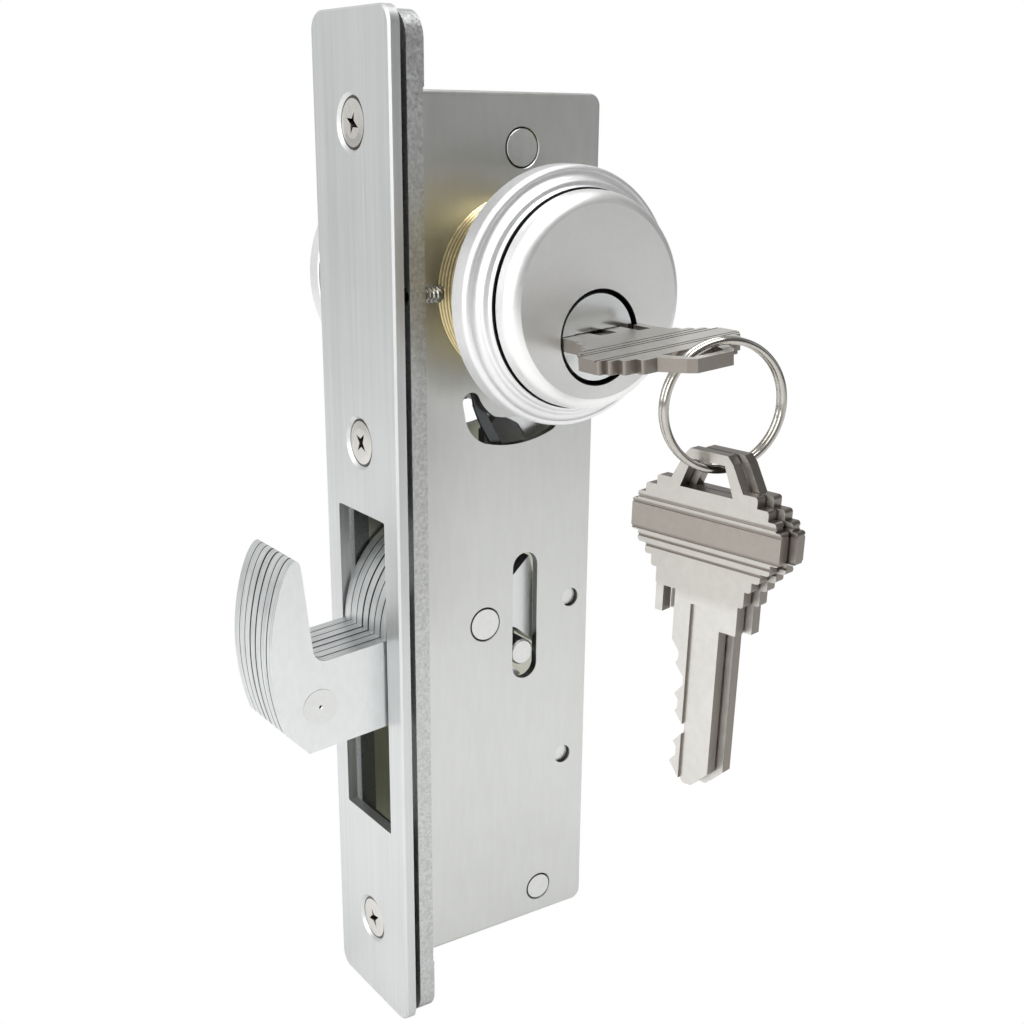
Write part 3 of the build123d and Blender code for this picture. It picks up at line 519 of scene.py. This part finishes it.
for node_name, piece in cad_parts.items():
    for material_slot in piece.material_slots:
        slot_name = material_slot.material.name.split(".")[0]
        material_slot.material = own_looks.get(node_name, looks[slot_name])

# ---------------------------------------------------------------- crisp edges
def ease_edges(names, width, segments=2, limit=40):
    """Small rounded edges that catch the light."""
    for name in names:
        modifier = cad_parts[name].modifiers.new("eased_edges", "BEVEL")
        modifier.width = width * MM
        modifier.segments = segments
        modifier.limit_method = "ANGLE"
        modifier.angle_limit = radians(limit)
        modifier.use_clamp_overlap = True
        modifier.harden_normals = True


ease_edges([f"bolt_lamination_{i}" for i in range(1, BOLT_PLATES + 1)], 0.16)
ease_edges(["faceplate"], 0.12)
ease_edges(["near_side_plate", "far_side_plate"], 0.18)
ease_edges(KEYS, 0.14)

# ---------------------------------------------------------------- threaded pieces
BARREL_R = 14.6 * MM
BARREL_PITCH = 0.94 * MM
BARREL_CREST = BARREL_R + 0.34 * MM
THREAD_START = -plate_high.y + 0.1 * MM
THREAD_END = -ring_high.y + 0.6 * MM
SCREW_PITCH = 0.75 * MM
SCREW_DEPTH = 0.26 * MM
SCREW_TIP = 0.8 * MM
SOCKET_R = 0.7 * MM
SOCKET_DEPTH = 1.5 * MM
CLOSE_IN = 0.0001 * MM

for name, side in (("near", -1), ("far", 1)):
    origin = (CYL_X, 0, CYL_Z)
    verts, faces = thread_mesh(origin, "Y", side, BARREL_R - 0.02 * MM, BARREL_CREST, THREAD_START,
                               THREAD_END, BARREL_PITCH)
    thread = add_mesh(f"{name}_cylinder_thread", verts, faces, looks["brass_thread"])
    clean(thread)
    smooth_by_angle(thread, 25)
    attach(thread, "case")

    low, high = span(f"{name}_set_screw")
    screw_r = (high.z - low.z) / 2
    core = screw_r - SCREW_DEPTH
    length = high.x - low.x
    origin = (low.x, (low.y + high.y) / 2, (low.z + high.z) / 2)
    profile = [(SOCKET_R, 0), (core, 0), (core, length - SCREW_TIP), (0.6 * MM, length), (CLOSE_IN, length),
               (CLOSE_IN, SOCKET_DEPTH), (SOCKET_R, SOCKET_DEPTH)]
    verts, faces = joined(
        lathe_mesh(origin, "X", 1, profile),
        thread_mesh(origin, "X", 1, core - 0.01 * MM, screw_r, 0.1 * MM, length - SCREW_TIP - 0.1 * MM,
                    SCREW_PITCH))
    screw = add_mesh(f"{name}_set_screw_thread", verts, faces, looks["dark_screw"])
    clean(screw)
    smooth_by_angle(screw, 25)
    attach(screw, "case")
    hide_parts(f"{name}_set_screw")

# ---------------------------------------------------------------- inside the case
def leaf(name, outline, y, thick, material):
    """A flat leaf or plate in the XZ plane with eased edges. Outline in mm, y its near face."""
    verts = [(x * MM, side_y * MM, z * MM) for side_y in (y, y + thick) for x, z in outline]
    count = len(outline)
    faces = [tuple(range(count)), tuple(range(2 * count - 1, count - 1, -1))]
    faces += [(i, (i + 1) % count, (i + 1) % count + count, i + count) for i in range(count)]
    made = add_mesh(name, verts, faces, material)
    smooth_by_angle(made, 30)
    easing = made.modifiers.new("eased_edges", "BEVEL")
    easing.width = 0.12 * MM
    easing.segments = 2
    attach(made, "case")
    return made


# the bent detent leaf and the guard behind it, seen through the curved window under the cylinder
LEAF_Y = -7.8
LEAF_THICK = 0.7
LEAF_OUTLINE = [(14.4, 28.4), (15.4, 28.2), (16.6, 26.3), (17.9, 23.4), (21.5, 17.2), (19.4, 16.6),
                (16.1, 22.7), (15.1, 25.1)]
GUARD_Y = -6.6
GUARD_THICK = 0.6
GUARD_OUTLINE = [(15.6, 25.2), (18.4, 23.6), (21.9, 22.9), (24.6, 21.4), (26.2, 19.2), (26.6, 16.6),
                 (34.6, 16.6), (34.6, 29.4), (15.6, 29.4)]
leaf("detent_leaf", LEAF_OUTLINE, LEAF_Y, LEAF_THICK, looks["dark_leaf"])
leaf("window_guard", GUARD_OUTLINE, GUARD_Y, GUARD_THICK, looks["guard_steel"])

# ---------------------------------------------------------------- stage, light and camera
FLOOR_Z = -0.0885


def card(name, corners, material):
    """A flat four-cornered sheet for the studio, not attached to any body of the lock."""
    made = add_mesh(name, corners, [(0, 1, 2, 3)], material)
    return made


def paper_material(name, seen, lit):
    """Paper that photographs as plain white, while metals see it at its own brightness."""
    material, tree, shader = new_material(name)
    shader.inputs["Base Color"].default_value = (lit, lit, lit, 1)
    shader.inputs["Roughness"].default_value = 0.9
    glow = node(tree, "ShaderNodeEmission")
    glow.inputs["Color"].default_value = (seen, seen, seen, 1)
    glow.inputs["Strength"].default_value = 1.0
    path = node(tree, "ShaderNodeLightPath")
    choose = node(tree, "ShaderNodeMixShader")
    output = next(n for n in tree.nodes if n.type == "OUTPUT_MATERIAL")
    tree.links.new(path.outputs["Is Camera Ray"], choose.inputs[0])
    tree.links.new(shader.outputs["BSDF"], choose.inputs[1])
    tree.links.new(glow.outputs["Emission"], choose.inputs[2])
    tree.links.new(choose.outputs["Shader"], output.inputs["Surface"])
    return material


FLOOR_HALF = 3.0
card("floor", [(-FLOOR_HALF, -FLOOR_HALF, FLOOR_Z), (FLOOR_HALF, -FLOOR_HALF, FLOOR_Z),
               (FLOOR_HALF, FLOOR_HALF, FLOOR_Z), (-FLOOR_HALF, FLOOR_HALF, FLOOR_Z)],
     paper_material("paper", 1.0, 0.85))

# the room: brighter behind and to the left of the lock, darker behind the photographer
ROOM_BRIGHT = (-0.57, 0.80, 0.0)
ROOM_LEVELS = ((0.0, 0.09), (0.3, 0.32), (0.7, 0.7), (1.0, 0.75))
world = bpy.data.worlds.new("studio")
bpy.context.scene.world = world
world.use_nodes = True
sky = world.node_tree
sky.nodes.clear()
sky_out = node(sky, "ShaderNodeOutputWorld")
sky_seen = node(sky, "ShaderNodeBackground")
sky_seen.inputs["Color"].default_value = (1, 1, 1, 1)
sky_lit = node(sky, "ShaderNodeBackground")
sky_mix = node(sky, "ShaderNodeMixShader")
sky_path = node(sky, "ShaderNodeLightPath")
sky_coords = node(sky, "ShaderNodeTexCoord")
sky_side = node(sky, "ShaderNodeVectorMath", operation="DOT_PRODUCT")
sky_side.inputs[1].default_value = ROOM_BRIGHT
sky.links.new(sky_coords.outputs["Generated"], sky_side.inputs[0])
room = remap(sky, sky_side.outputs["Value"], 0.0, 1.0, -1.0, 1.0)
sky.links.new(ramp(sky, room, ROOM_LEVELS), sky_lit.inputs["Color"])
sky.links.new(sky_path.outputs["Is Camera Ray"], sky_mix.inputs[0])
sky.links.new(sky_lit.outputs[0], sky_mix.inputs[1])
sky.links.new(sky_seen.outputs[0], sky_mix.inputs[2])
sky.links.new(sky_mix.outputs[0], sky_out.inputs["Surface"])


def area_light(name, place, aim, size, power, colour=(1, 1, 1)):
    data = bpy.data.lights.new(name, "AREA")
    data.shape = "RECTANGLE"
    data.size, data.size_y = size
    data.energy = power
    data.color = colour
    made = bpy.data.objects.new(name, data)
    made.location = place
    made.rotation_euler = (Vector(aim) - Vector(place)).to_track_quat("-Z", "Y").to_euler()
    bpy.context.collection.objects.link(made)
    return made


area_light("left_light", (-0.75, -0.1, 0.35), (0, 0, 0), (0.7, 0.7), 3.5)
area_light("right_light", (0.65, -0.55, 0.35), (0, 0, 0), (0.5, 0.5), 0.3)
area_light("top_light", (-0.05, -0.15, 0.9), (0, 0, 0), (0.7, 0.7), 7.0)

CAMERA_AT = (-0.1088, -0.2020, 0.0709)
CAMERA_AZIMUTH = radians(-34.75)
CAMERA_DOWN = radians(18.68)
CAMERA_ROLL = radians(0.68)
camera_data = bpy.data.cameras.new("camera")
camera_data.sensor_width = 36
camera_data.lens = 48.56
camera_data.shift_x = -0.0134
camera_data.shift_y = 0.0760
camera = bpy.data.objects.new("camera", camera_data)
camera.matrix_world = (
    Matrix.Translation(CAMERA_AT)
    @ Matrix.Rotation(CAMERA_AZIMUTH, 4, "Z")
    @ Matrix.Rotation(pi / 2 - CAMERA_DOWN, 4, "X")
    @ Matrix.Rotation(CAMERA_ROLL, 4, "Z")
)
bpy.context.collection.objects.link(camera)
bpy.context.scene.camera = camera
bpy.context.scene.view_settings.view_transform = "Standard"
